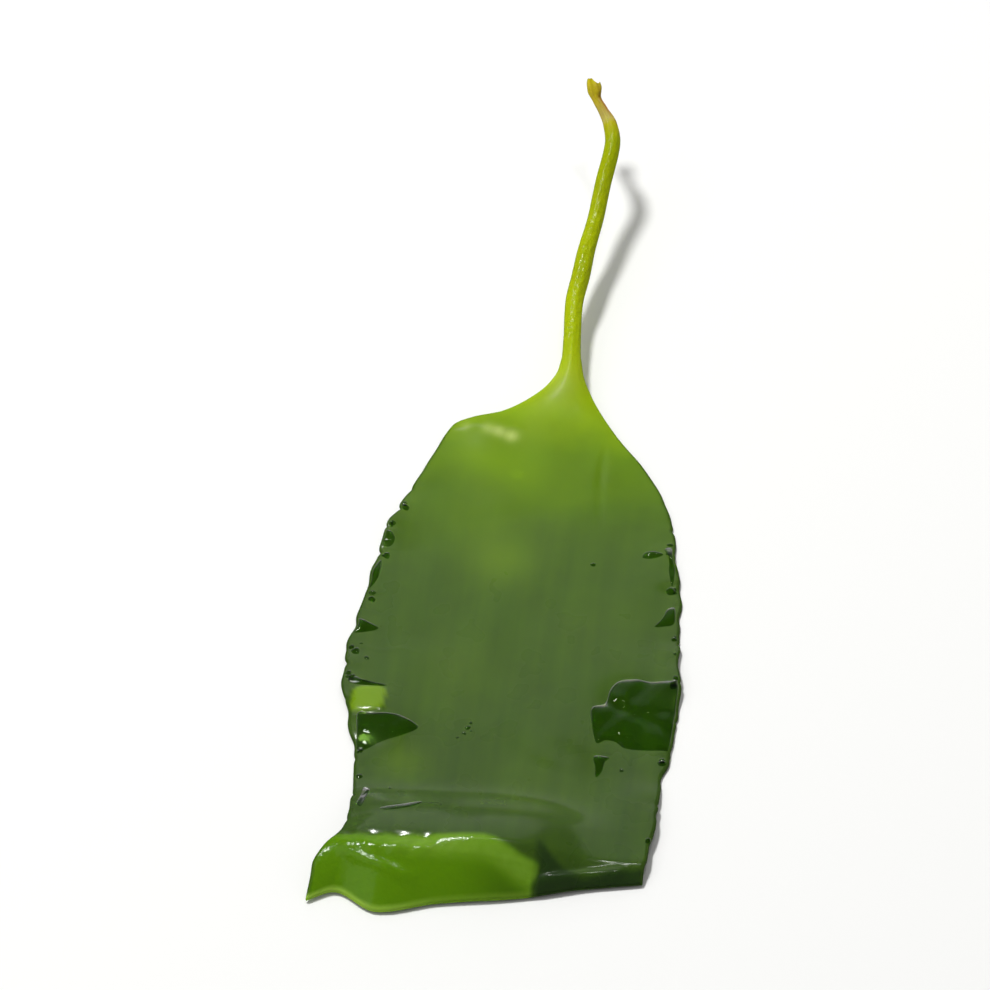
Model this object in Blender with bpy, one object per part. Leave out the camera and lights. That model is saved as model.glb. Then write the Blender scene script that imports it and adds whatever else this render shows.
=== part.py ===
"""A young kelp plant, lying on a table: a round stipe that widens into one flat, waved blade.

The whole plant grew as one piece, so it is one closed solid. Rings of points run from the torn
end of the stipe to the rolled far end of the blade. Each ring has an upper and a lower half: on
the stipe they make a circle, and on the blade they make the two faces of a thin sheet.

Sizes below are in millimetres and become metres through MM. "Along" is the distance from the
blade's base towards its far end, so it is negative up the stipe. "Side" is -1 at the left
margin, 0 on the middle line and 1 at the right margin, seen from above with the stipe at the top.
"""

import math

import bpy
from mathutils import Vector

MM = 0.001

# Driving sizes of the stipe
STIPE_REACH = 57.5
TORN_LENGTH = 5.0
TORN_DEPTH = 0.22
TORN_LOBES = 3
TORN_STEP = 0.8

# Driving sizes of the blade
BLADE_REACH = 122.0
MIDDLE_THICKNESS = 1.0
MARGIN_THICKNESS = 0.72
FLAT_FROM = 14.0

# The middle line: (along, offset to the right)
MIDDLE_LINE = (
    (-57.5, -2.5), (-55.0, -1.7), (-52.0, 0.0), (-49.0, 1.6), (-45.0, 2.5), (-37.0, 1.6),
    (-30.0, 1.0), (-23.0, 0.0), (-18.0, -0.4), (-12.0, -1.0), (-4.0, -0.5), (4.0, 0.0),
    (BLADE_REACH, 0.0),
)

# How high the underside of the middle line stands over the table: (along, height)
STANDS_AT = (
    (-57.5, 17.6), (-48.0, 15.2), (-36.0, 11.2), (-24.0, 7.7), (-12.0, 4.9), (0.0, 2.9),
    (10.0, 1.3), (20.0, 0.4), (30.0, 0.0), (BLADE_REACH, 0.0),
)

# The stipe's radius, with its shrunken neck and flared torn end: (along, radius)
STIPE_RADIUS = (
    (-57.5, 1.25), (-56.2, 1.35), (-54.5, 0.85), (-52.0, 0.95), (-49.0, 1.3), (-45.0, 1.45),
    (-38.0, 1.5), (-30.0, 1.5), (-18.0, 1.7), (-6.0, 1.6), (0.0, 1.7),
)

# Half widths of the blade: (along, width to the margin)
LEFT_WIDTH = (
    (0.0, 1.7), (3.0, 2.3), (5.5, 3.7), (9.0, 7.2), (12.5, 12.2), (14.3, 16.6), (16.0, 19.8),
    (22.0, 22.4), (33.0, 25.9), (42.0, 28.9), (56.0, 30.4), (70.0, 32.0), (78.0, 31.8),
    (86.0, 29.9), (94.0, 27.6), (108.0, 26.3), (114.0, 26.7), (118.0, 29.5), (BLADE_REACH, 31.2),
)
RIGHT_WIDTH = (
    (0.0, 1.7), (3.0, 2.2), (7.0, 4.1), (15.0, 9.4), (22.5, 15.4), (30.0, 20.0), (38.0, 22.4),
    (48.0, 24.4), (65.0, 26.0), (78.0, 27.1), (97.0, 25.8), (112.0, 25.3), (BLADE_REACH, 24.5),
)

# The blade's thickness on the middle line, which thins as the stipe flattens: (along, thickness)
RIB_THICKNESS = (
    (0.0, 3.2), (5.0, 2.2), (12.0, 1.55), (24.0, 1.2), (45.0, MIDDLE_THICKNESS),
    (BLADE_REACH, 0.85),
)

# The free margin at the far end: (side, distance from the blade's base)
END_MARGIN = (
    (-1.0, 122.5), (-0.62, 127.5), (-0.3, 124.6), (0.28, 121.2), (0.6, 118.8), (1.0, 116.6),
)
END_BENDS_FROM = 96.0

# The crest over which the far end rolls down: where it runs, its height and how far back it rises
CREST_AT = 114.8
CREST_SLANT = -1.2
CREST_HEIGHT = (
    (-1.0, 4.0), (-0.8, 5.2), (-0.45, 5.8), (-0.1, 6.6), (0.1, 6.2), (0.6, 2.6), (1.0, 1.8),
)
CREST_RISE = 13.0
LIP_GAP = 0.3
LIP_CURVE = 1.4

# Broad waves of the whole sheet: (height, length along, length across, phase)
SHEET_WAVES = (
    (0.55, 52.0, 95.0, -0.7),
    (0.35, 31.0, 60.0, 2.1),
    (0.22, 23.0, -34.0, 4.0),
)

# Ruffles that grow towards a margin: (height, length along, phase)
LEFT_RUFFLES = ((0.7, 33.0, 0.3), (0.32, 19.0, 1.9), (0.12, 11.0, 0.7))
RIGHT_RUFFLES = ((0.75, 38.0, 2.4), (0.36, 21.0, 0.2), (0.12, 12.5, 3.1))
RUFFLE_GRIP = 5.0

# Low swellings and hollows: (x, along, radius, height)
SWELLINGS = (
    (0.0, 60.0, 15.0, -0.8),
    (17.0, 79.0, 17.0, 1.9),
    (19.5, 79.5, 7.5, -2.0),
    (-24.5, 85.0, 7.0, 1.7),
    (-14.0, 17.0, 5.0, 0.8),
    (21.0, 41.0, 5.0, 1.2),
    (22.0, 101.0, 7.0, 1.5),
)

# The margins run evenly at first, and then in small bulges: (depth, length along, phase)
EVEN_UP_TO = 20.0
UNEVEN_FROM = 42.0
UNEVEN = ((0.14, 17.3, 0.5), (0.09, 9.1, 2.2), (0.05, 5.3, 1.1))

# Nicks where a margin was torn: (along, depth, half length)
LEFT_NICKS = ((38.0, 0.45, 1.6), (48.5, 0.35, 1.9), (65.5, 0.55, 2.0), (84.5, 0.6, 2.6))
RIGHT_NICKS = ((43.5, 0.6, 2.0), (57.0, 0.3, 1.8), (69.5, 0.4, 2.1), (93.0, 0.45, 2.6))

# A wave lower than this lies nearly flat on the table
SETTLE = 0.9

# How finely the solid is divided: rows as (from, to, step), and columns from margin to margin
ROW_SPANS = (
    (-STIPE_REACH, -48.0, 1.2),
    (-48.0, -4.0, 3.1),
    (-4.0, 26.0, 1.25),
    (26.0, 98.0, 2.1),
    (98.0, BLADE_REACH, 1.25),
)
COLUMNS = 22
ROUND_END = 0.022
MARGIN_CROWDING = 0.45

# The colour, roughness and metallic value of wet kelp
KELP_COLOUR = (0.085, 0.19, 0.02, 1.0)
KELP_ROUGHNESS = 0.22
KELP_METALLIC = 0.0


def smooth_through(points, at):
    """Read a smooth curve through (place, value) points, with no overshoot between them."""
    if at <= points[0][0]:
        return points[0][1]
    if at >= points[-1][0]:
        return points[-1][1]
    slopes = [(b[1] - a[1]) / (b[0] - a[0]) for a, b in zip(points, points[1:])]
    index = next(i for i in range(len(slopes)) if at <= points[i + 1][0])

    def tangent(i):
        if i == 0 or i == len(slopes):
            return slopes[min(i, len(slopes) - 1)]
        before, after = slopes[i - 1], slopes[i]
        if before * after <= 0.0:
            return 0.0
        return 2.0 * before * after / (before + after)

    (place_a, value_a), (place_b, value_b) = points[index], points[index + 1]
    width = place_b - place_a
    t = (at - place_a) / width
    return (
        value_a * (1 + 2 * t) * (1 - t) ** 2
        + value_b * t * t * (3 - 2 * t)
        + tangent(index) * width * t * (1 - t) ** 2
        - tangent(index + 1) * width * t * t * (1 - t)
    )


def smooth_step(low, high, at):
    """Go smoothly from 0 at low to 1 at high."""
    t = min(1.0, max(0.0, (at - low) / (high - low)))
    return t * t * (3.0 - 2.0 * t)


def wave(length, phase, at):
    return math.sin(2.0 * math.pi * at / length + phase)


def flatness(along):
    """Tell how much of a sheet the plant is here: 0 on the round stipe, 1 on the flat blade."""
    return smooth_step(-2.0, FLAT_FROM, along)


def side_of(column, along):
    """Place a column between the margins. Columns crowd round a stipe and towards a margin."""
    angle = math.pi * (ROUND_END + column * (1.0 - 2.0 * ROUND_END))
    round_side = -math.cos(angle)
    sheet_side = 2.0 * column - 1.0
    crowding = 1.0 - (1.0 - MARGIN_CROWDING) * flatness(along)
    side = crowding * round_side + (1.0 - crowding) * sheet_side
    return side, math.sin(angle)


def half_width(along, side):
    """Measure from the middle line to the margin on this side."""
    if along <= 0.0:
        return smooth_through(STIPE_RADIUS, along)
    width = smooth_through(LEFT_WIDTH if side < 0.0 else RIGHT_WIDTH, along)
    shift = 1.7 if side < 0.0 else 0.0
    uneven = sum(depth * wave(length, phase + shift, along) for depth, length, phase in UNEVEN)
    nicks = LEFT_NICKS if side < 0.0 else RIGHT_NICKS
    nicked = sum(depth * math.exp(-(((along - at) / half) ** 2)) for at, depth, half in nicks)
    return width + (uneven - nicked) * smooth_step(EVEN_UP_TO, UNEVEN_FROM, along)


def half_thickness(along, side, roundness):
    """Give half the thickness: a circle's on the stipe, and a thin lens's on the blade."""
    round_half = half_width(min(along, 0.0), side) * roundness
    rib = smooth_through(RIB_THICKNESS, along)
    sheet_half = 0.5 * (MARGIN_THICKNESS + (rib - MARGIN_THICKNESS) * (1.0 - side * side))
    flat = flatness(along)
    return (1.0 - flat) * round_half + flat * sheet_half


def crest_height(distance, side):
    """Raise the far end to its crest, then roll the lip down to the table in front of it."""
    top = smooth_through(CREST_HEIGHT, side)
    crest = CREST_AT + CREST_SLANT * side
    if distance <= crest:
        return top * math.exp(-(((crest - distance) / CREST_RISE) ** 2))
    lip = (distance - crest) / (smooth_through(END_MARGIN, side) - crest)
    return LIP_GAP + (top - LIP_GAP) * (1.0 - min(1.0, lip) ** LIP_CURVE)


def table_gap(x, distance, side):
    """Give the height of the blade's underside over the table, 0 wherever it lies on it."""
    height = smooth_through(STANDS_AT, distance)
    on_blade = smooth_step(10.0, 34.0, distance)
    before_crest = 1.0 - smooth_step(98.0, 112.0, distance)
    for size, along_length, across_length, phase in SHEET_WAVES:
        across_phase = phase + 2.0 * math.pi * x / across_length
        height += size * wave(along_length, across_phase, distance) * on_blade * before_crest
    ruffles = LEFT_RUFFLES if side < 0.0 else RIGHT_RUFFLES
    grip = abs(side) ** RUFFLE_GRIP * on_blade * before_crest
    for size, length, phase in ruffles:
        height += size * wave(length, phase, distance) * grip
    for at_x, at_along, radius, size in SWELLINGS:
        away = ((x - at_x) ** 2 + (distance - at_along) ** 2) / radius**2
        height += size * math.exp(-away) * before_crest
    if height <= 0.0:
        height = 0.0
    elif distance > 0.0:
        settled = height * height / (height + SETTLE)
        height += (settled - height) * on_blade
    return height + crest_height(distance, side) * smooth_step(96.0, 108.0, distance)


def middle_point(along, column):
    """Place a point of the sheet halfway between its two faces, in millimetres."""
    side, roundness = side_of(column, along)
    ahead = smooth_through(MIDDLE_LINE, along + 0.5)
    behind = smooth_through(MIDDLE_LINE, along - 0.5)
    across = Vector((1.0, ahead - behind, 0.0)).normalized()
    centre = Vector((smooth_through(MIDDLE_LINE, along), -along, 0.0))
    point = centre + across * side * half_width(along, side)
    bend = smooth_step(END_BENDS_FROM, BLADE_REACH, along)
    point.y -= bend * (smooth_through(END_MARGIN, side) - BLADE_REACH)
    axis_half = half_thickness(along, 0.0, 1.0)
    own_half = half_thickness(along, side, roundness)
    flat = flatness(along)
    if along <= 0.0:
        point.z = smooth_through(STANDS_AT, along)
    else:
        point.z = table_gap(point.x, -point.y, side)
    lies_flat = point.z == 0.0
    point.z += (1.0 - flat) * axis_half + flat * own_half
    return point, own_half, lies_flat


def torn(along, angle):
    """Shape the stipe's last stretch: swell it into lobes and step its torn end in and out."""
    reach = smooth_step(-STIPE_REACH + TORN_LENGTH, -STIPE_REACH, along)
    swell = 1.0 + TORN_DEPTH * reach * math.cos(TORN_LOBES * angle + 0.7)
    step = TORN_STEP * reach * math.sin(2.0 * angle + 0.4)
    return swell, Vector((0.0, step, 0.0))


def ring_points(along, column):
    """Give the upper and lower point of one column of one ring, in millimetres."""
    nudge = 0.01
    centre, half, lies_flat = middle_point(along, column)
    ahead = middle_point(along + nudge, column)[0] - middle_point(along - nudge, column)[0]
    first, last = max(0.0, column - nudge), min(1.0, column + nudge)
    across = middle_point(along, last)[0] - middle_point(along, first)[0]
    normal = ahead.cross(across).normalized()
    if normal.z < 0.0:
        normal.negate()
    angle = math.pi * column
    upper_swell, upper_step = torn(along, angle)
    lower_swell, lower_step = torn(along, -angle)
    upper = centre + normal * half * upper_swell + upper_step
    lower = centre - normal * half * lower_swell + lower_step
    if lies_flat:
        lower.z = 0.0
    return upper, lower


def row_places():
    """List where along the plant the rings stand, without repeating the ends of the spans."""
    places = []
    for start, end, step in ROW_SPANS:
        count = round((end - start) / step)
        places += [start + (end - start) * i / count for i in range(count)]
    return places + [ROW_SPANS[-1][1]]


def plant_mesh():
    """Build the closed skin: two faces split into like triangles, and a strip round their edge."""
    rows = row_places()
    points = []
    for along in rows:
        pairs = [ring_points(along, column / COLUMNS) for column in range(COLUMNS + 1)]
        points += [upper for upper, _ in pairs] + [lower for _, lower in pairs]
    wide = COLUMNS + 1
    faces = []
    for row in range(len(rows) - 1):
        here = row * 2 * wide
        there = here + 2 * wide
        for column in range(COLUMNS):
            a, b = here + column, there + column
            faces += [(a, b, b + 1), (a, b + 1, a + 1)]
            a, b = a + wide, b + wide
            faces += [(a, b + 1, b), (a, a + 1, b + 1)]
        left_a, left_b = here, there
        faces += [(left_a, left_a + wide, left_b + wide), (left_a, left_b + wide, left_b)]
        right_a, right_b = here + COLUMNS, there + COLUMNS
        faces += [(right_a, right_b + wide, right_a + wide), (right_a, right_b, right_b + wide)]
    for column in range(COLUMNS):
        faces += [(column, column + 1, column + 1 + wide), (column, column + 1 + wide, column + wide)]
        end = (len(rows) - 1) * 2 * wide + column
        faces += [(end, end + wide, end + 1 + wide), (end, end + 1 + wide, end + 1)]
    return points, faces


def centred(points):
    """Move the points so that the middle of their footprint is the origin, and use metres."""
    middle_x = (min(p.x for p in points) + max(p.x for p in points)) / 2.0
    middle_y = (min(p.y for p in points) + max(p.y for p in points)) / 2.0
    return [((p.x - middle_x) * MM, (p.y - middle_y) * MM, p.z * MM) for p in points]


def kelp_material():
    material = bpy.data.materials.new("wet kelp")
    material.use_nodes = True
    surface = material.node_tree.nodes["Principled BSDF"]
    surface.inputs["Base Color"].default_value = KELP_COLOUR
    surface.inputs["Roughness"].default_value = KELP_ROUGHNESS
    surface.inputs["Metallic"].default_value = KELP_METALLIC
    return material


def build_sprout():
    points, faces = plant_mesh()
    mesh = bpy.data.meshes.new("kelp_sprout")
    mesh.from_pydata(centred(points), [], faces)
    mesh.materials.append(kelp_material())
    mesh.shade_smooth()
    mesh.set_sharp_from_angle(angle=math.radians(60.0))
    sprout = bpy.data.objects.new("kelp_sprout", mesh)
    bpy.context.collection.objects.link(sprout)
    return sprout


for old in list(bpy.data.objects):
    bpy.data.objects.remove(old)

build_sprout()
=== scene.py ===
"""The looks of a soaked young kelp plant that lies on a pale table.

Its outlines and sheet sizes are in millimetres and become metres through MM. "Along" is the
distance from the blade's base towards its far end, so it is negative up the stipe. "Side" is -1
at the left margin, 0 on the middle line and 1 at the right margin.
"""

import math

import bpy
import numpy as np
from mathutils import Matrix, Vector
from mathutils.bvhtree import BVHTree


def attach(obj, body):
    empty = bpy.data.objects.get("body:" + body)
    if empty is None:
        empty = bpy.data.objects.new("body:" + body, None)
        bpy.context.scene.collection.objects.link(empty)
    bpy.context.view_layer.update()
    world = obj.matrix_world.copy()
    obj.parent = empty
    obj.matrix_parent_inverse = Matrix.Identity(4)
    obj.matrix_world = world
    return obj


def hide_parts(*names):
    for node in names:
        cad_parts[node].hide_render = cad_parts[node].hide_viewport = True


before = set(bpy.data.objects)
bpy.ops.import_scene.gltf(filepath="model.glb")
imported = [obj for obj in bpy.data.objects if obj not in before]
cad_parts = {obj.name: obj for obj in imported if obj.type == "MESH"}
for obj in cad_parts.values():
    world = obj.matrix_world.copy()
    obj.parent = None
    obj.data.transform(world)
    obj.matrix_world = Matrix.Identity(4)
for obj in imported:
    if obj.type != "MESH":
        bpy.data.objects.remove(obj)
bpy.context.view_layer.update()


# The kelp itself: one soft sheet of wet brown-alga tissue that grew out of its own round stipe,
# with the torn stub of its holdfast at the top. It is one skin, built as rings of points that
# run from the torn end to the rolled far margin, and it takes the place of the plain solid.

MM = 0.001

STIPE_REACH = 57.5
TORN_LENGTH = 5.0
TORN_DEPTH = 0.22
TORN_LOBES = 3
TORN_STEP = 0.8
NECK = (-46.0, -52.0)
BLADE_REACH = 122.0
MIDDLE_THICKNESS = 1.0
MARGIN_THICKNESS = 0.72
ROUND_UP_TO = -2.0
FLAT_FROM = 14.0

# By the distance along: x of the middle line, the height of the underside, the stipe's radius,
# both widths from the middle line to the margin, and the thickness on the middle line
MIDDLE_LINE = (
    (-57.5, -2.5), (-55.0, -1.7), (-52.0, 0.0), (-49.0, 1.6), (-45.0, 2.5), (-37.0, 1.6),
    (-30.0, 1.0), (-23.0, 0.0), (-18.0, -0.4), (-12.0, -1.0), (-4.0, -0.5), (4.0, 0.0),
    (BLADE_REACH, 0.0),
)
STANDS_AT = (
    (-57.5, 17.6), (-48.0, 15.2), (-36.0, 11.2), (-24.0, 7.7), (-12.0, 4.9), (0.0, 2.9),
    (10.0, 1.3), (20.0, 0.4), (30.0, 0.0), (BLADE_REACH, 0.0),
)
STIPE_RADIUS = (
    (-57.5, 1.25), (-56.2, 1.35), (-54.5, 0.85), (-52.0, 0.95), (-49.0, 1.3), (-45.0, 1.45),
    (-38.0, 1.5), (-30.0, 1.5), (-18.0, 1.7), (-6.0, 1.6), (0.0, 1.7),
)
LEFT_WIDTH = (
    (0.0, 1.7), (3.0, 2.3), (5.5, 3.7), (9.0, 7.2), (12.5, 12.2), (14.3, 16.6), (16.0, 19.8),
    (22.0, 22.4), (33.0, 25.9), (42.0, 28.9), (56.0, 30.4), (70.0, 32.0), (78.0, 31.8),
    (86.0, 29.9), (94.0, 27.6), (106.0, 26.3), (110.5, 27.0), (114.0, 29.4), (117.0, 30.9),
    (BLADE_REACH, 31.2),
)
RIGHT_WIDTH = (
    (0.0, 1.7), (3.0, 2.2), (7.0, 4.1), (15.0, 9.4), (22.5, 15.4), (30.0, 20.0), (38.0, 22.4),
    (48.0, 24.4), (65.0, 26.0), (78.0, 27.1), (97.0, 25.8), (112.0, 25.3), (BLADE_REACH, 24.5),
)
RIB_THICKNESS = (
    (0.0, 3.2), (5.0, 2.2), (12.0, 1.55), (24.0, 1.2), (45.0, MIDDLE_THICKNESS),
    (BLADE_REACH, 0.85),
)

# By the side: how far along the far margin lies, and the height of the crest before it. The lip's
# left corner is blunt, as on the real one, and pointed in the plain solid.
END_MARGIN = (
    (-1.0, 126.6), (-0.85, 124.2), (-0.62, 127.5), (-0.3, 124.6), (0.28, 121.2), (0.6, 118.8),
    (1.0, 116.6),
)
CREST_HEIGHT = (
    (-1.0, 4.0), (-0.8, 5.2), (-0.45, 5.8), (-0.1, 6.6), (0.1, 6.2), (0.6, 2.6), (1.0, 1.8),
)
END_BENDS_FROM = 96.0
CREST_AT = 114.8
CREST_SLANT = -1.2
CREST_STARTS = (96.0, 108.0)
CREST_RISE = 13.0
LIP_GAP = 0.3
LIP_CURVE = 1.4

# The soft waves of the sheet, each as its height, its lengths along and across, and its phase;
# those of the margins, as height, length and phase; and swellings, as x, along, radius and height
SHEET_WAVES = (
    (0.55, 52.0, 95.0, -0.7),
    (0.35, 31.0, 60.0, 2.1),
    (0.22, 23.0, -34.0, 4.0),
)
LEFT_RUFFLES = ((0.7, 33.0, 0.3), (0.32, 19.0, 1.9), (0.12, 11.0, 0.7))
RIGHT_RUFFLES = ((0.75, 38.0, 2.4), (0.36, 21.0, 0.2), (0.12, 12.5, 3.1))
RUFFLE_GRIP = 5.0
WAVES_START = (10.0, 34.0)
WAVES_END = (98.0, 112.0)
SWELLINGS = (
    (0.0, 60.0, 15.0, -0.8),
    (17.0, 79.0, 17.0, 1.9),
    (19.5, 79.5, 7.5, -2.0),
    (-24.5, 85.0, 7.0, 1.7),
    (-14.0, 17.0, 5.0, 0.8),
    (21.0, 41.0, 5.0, 1.2),
    (22.0, 101.0, 7.0, 1.5),
)
SETTLE = 0.9
LIES_BELOW = 0.05

# The uneven line of the margins, in waves as above, and their nicks as (along, depth, half length)
EVEN_UP_TO = 20.0
UNEVEN_FROM = 42.0
UNEVEN = ((0.14, 17.3, 0.5), (0.09, 9.1, 2.2), (0.05, 5.3, 1.1))
LEFT_PHASE = 1.7
LEFT_NICKS = ((38.0, 0.45, 1.6), (48.5, 0.35, 1.9), (65.5, 0.55, 2.0), (84.5, 0.6, 2.6))
RIGHT_NICKS = ((43.5, 0.6, 2.0), (57.0, 0.3, 1.8), (69.5, 0.4, 2.1), (93.0, 0.45, 2.6))

# Finer than the plain solid: the fray and small nicks of the margin, and the relief of the skin
seeded = np.random.default_rng(7)


def random_waves(count, lengths, steepness):
    """Draw (height, length, phase) waves, each as high as its length times the steepness."""
    drawn = seeded.uniform(*lengths, count)
    return [(steepness * length, length, seeded.uniform(0.0, 2.0 * np.pi)) for length in drawn]


def random_nicks(count, depths, half_lengths):
    """Draw (along, depth, half length) nicks of a margin."""
    return [
        (seeded.uniform(20.0, 112.0), seeded.uniform(*depths), seeded.uniform(*half_lengths))
        for _ in range(count)
    ]


LEFT_FRAY = random_waves(14, (1.2, 9.0), 0.003)
RIGHT_FRAY = random_waves(14, (1.2, 9.0), 0.003)
LEFT_TEARS = random_nicks(9, (0.1, 0.45), (0.3, 0.7))
RIGHT_TEARS = random_nicks(8, (0.1, 0.45), (0.3, 0.7))
FRILL = random_waves(12, (4.0, 14.0), 0.005)
FRILL_WIDTH = 3.5
RELIEF_STARTS = (6.0, 14.0)
PUCKERS = [(seeded.uniform(-0.45, 0.45), *wave) for wave in random_waves(14, (6.0, 19.0), 0.0016)]
CREASE = {"x": 8.4, "start": 17.0, "end": 40.0, "width": 0.6, "depth": 0.26}
WRINKLES = (
    {"along": 16.4, "start": -21.0, "end": -6.0, "width": 0.5, "height": 0.13},
    {"along": 70.2, "start": -30.5, "end": -18.0, "width": 0.4, "height": 0.07},
)
LIP_FOLD = {"start": -28.0, "end": -9.0, "groove_at": 115.4, "ridge_at": 117.7, "depth": 0.55}
FLAP = {
    "x": -26.7, "along": 82.2, "slant": 0.12, "half_width": 2.9, "half_length": 2.9, "height": 0.35,
}
LIP_RIDGE = {"from": (-26.5, 118.4), "to": (-12.5, 122.9), "width": 0.8, "height": 0.45}
ROLLED_RIM = {"start": 5.5, "end": 23.0, "from_end": 1.5, "width": 1.0, "height": 0.8}

# Grooves that wind round the stipe, as (count, share of the radius, length till they repeat)
NECK_WRINKLES = ((5, 0.1, 31.0), (8, 0.06, 17.0))
STIPE_GROOVES = ((5, 0.022, 37.0), (9, 0.012, 23.0))

# The rings of points lie closer at the far end, and the points of a ring closer at its margins
ROWS_STIPE = 140
ROWS_BLADE = 420
END_ROWS = (0.4, 0.3, 0.2, 0.1, 0.04, 0.0)
COLUMNS = 66
MARGIN_COLUMNS = (0.0, 0.0014, 0.0045, 0.0095)
ROUND_END = 0.022
MARGIN_CROWDING = 0.45


def smooth_through(points, at):
    """Read a smooth curve through (place, value) points, with no overshoot between them."""
    places, values = np.array(points, float).T
    widths = np.diff(places)
    slopes = np.diff(values) / widths
    agree = slopes[:-1] * slopes[1:] > 0.0
    total = np.where(agree, slopes[:-1] + slopes[1:], 1.0)
    inner = np.where(agree, 2.0 * slopes[:-1] * slopes[1:] / total, 0.0)
    tangents = np.concatenate(([slopes[0]], inner, [slopes[-1]]))
    at = np.clip(at, places[0], places[-1])
    index = np.clip(np.searchsorted(places, at) - 1, 0, len(slopes) - 1)
    width = widths[index]
    t = (at - places[index]) / width
    return (
        values[index] * (1 + 2 * t) * (1 - t) ** 2
        + values[index + 1] * t * t * (3 - 2 * t)
        + tangents[index] * width * t * (1 - t) ** 2
        - tangents[index + 1] * width * t * t * (1 - t)
    )


def smooth_step(low, high, at):
    """Ease from 0 at low to 1 at high. Low may be the larger of the two."""
    t = np.clip((at - low) / (high - low), 0.0, 1.0)
    return t * t * (3.0 - 2.0 * t)


def waves(rows, at):
    """Add up sine waves given as (height, length, phase)."""
    return sum(height * np.sin(2.0 * np.pi * at / length + phase) for height, length, phase in rows)


def flatness(along):
    """Tell how flat the plant is: 0 where it is a round stipe, 1 where it is a sheet."""
    return smooth_step(ROUND_UP_TO, FLAT_FROM, along)


def nicks(rows, at):
    """Add up notches given as (along, depth, half length)."""
    return sum(depth * np.exp(-(((at - place) / half) ** 2)) for place, depth, half in rows)


def soft_spots(rows, x, distance):
    """Add up round spots given as (x, along, radius, strength)."""
    return sum(
        strength * np.exp(-((x - at_x) ** 2 + (distance - at_along) ** 2) / radius**2)
        for at_x, at_along, radius, strength in rows
    )


def half_width(along, side):
    """Measure from the middle line to the margin, nicks and all."""
    grown = smooth_step(EVEN_UP_TO, UNEVEN_FROM, along)
    left_uneven = [(height, length, phase + LEFT_PHASE) for height, length, phase in UNEVEN]
    left = waves([*left_uneven, *LEFT_FRAY], along) - nicks([*LEFT_NICKS, *LEFT_TEARS], along)
    right = waves([*UNEVEN, *RIGHT_FRAY], along) - nicks([*RIGHT_NICKS, *RIGHT_TEARS], along)
    left = smooth_through(LEFT_WIDTH, along) + left * grown
    right = smooth_through(RIGHT_WIDTH, along) + right * grown
    stipe = smooth_through(STIPE_RADIUS, along)
    return np.where(along <= 0.0, stipe, np.where(side < 0.0, left, right))


def half_thickness(along, side, roundness):
    """Give half the thickness: a circle's on the stipe, and a round-edged sheet's on the blade."""
    width = half_width(along, side)
    rib = smooth_through(RIB_THICKNESS, along)
    sheet = 0.5 * (MARGIN_THICKNESS + (rib - MARGIN_THICKNESS) * (1.0 - side * side))
    to_margin = width * (1.0 - np.abs(side))
    to_end = np.clip(BLADE_REACH - along, 0.0, BLADE_REACH)
    edge = np.clip(np.minimum(to_margin, to_end) / (0.5 * MARGIN_THICKNESS), 0.0, 1.0)
    sheet = sheet * np.sqrt(np.clip(1.0 - (1.0 - edge) ** 2, 0.02, 1.0))
    round_half = smooth_through(STIPE_RADIUS, np.minimum(along, 0.0)) * roundness
    flat = flatness(along)
    return (1.0 - flat) * round_half + flat * sheet


def crest_height(distance, side):
    """Raise the far end to its crest, then roll the lip down to the table in front of it."""
    top = smooth_through(CREST_HEIGHT, side)
    crest = CREST_AT + CREST_SLANT * side
    rising = top * np.exp(-(((crest - distance) / CREST_RISE) ** 2))
    lip = np.clip((distance - crest) / (smooth_through(END_MARGIN, side) - crest), 0.0, 1.0)
    falling = LIP_GAP + (top - LIP_GAP) * (1.0 - lip**LIP_CURVE)
    return np.where(distance <= crest, rising, falling)


def on_flap(x, distance):
    """Tell how much a place belongs to the four-cornered flap near the left margin."""
    across = (x - FLAP["x"]) / FLAP["half_width"]
    down = (distance - FLAP["along"] + FLAP["slant"] * (x - FLAP["x"])) / FLAP["half_length"]
    return np.exp(-((across**4 + down**4) ** 3))


def skin_relief(x, distance):
    """Pucker the upper skin in soft lengthwise waves, and add its crease, wrinkles and flap."""
    relief = np.zeros_like(x)
    for turn, height, length, phase in PUCKERS:
        travel = x * np.cos(turn) + distance * np.sin(turn)
        relief += height * np.sin(2.0 * np.pi * travel / length + phase)
    in_crease = smooth_step(0.0, 6.0, distance - CREASE["start"])
    in_crease *= smooth_step(0.0, 8.0, CREASE["end"] - distance)
    from_crease = (x - CREASE["x"] - 0.5 * np.sin(distance / 5.0)) / CREASE["width"]
    relief -= CREASE["depth"] * in_crease * np.exp(-(from_crease**2))
    for wrinkle in WRINKLES:
        in_wrinkle = smooth_step(0.0, 2.0, x - wrinkle["start"])
        in_wrinkle *= smooth_step(0.0, 3.0, wrinkle["end"] - x)
        from_wrinkle = (distance - wrinkle["along"] - 0.5 * np.sin(x / 1.1)) / wrinkle["width"]
        relief += wrinkle["height"] * in_wrinkle * np.exp(-(from_wrinkle**2))
    relief += FLAP["height"] * on_flap(x, distance)
    return relief * smooth_step(*RELIEF_STARTS, distance)


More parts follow.
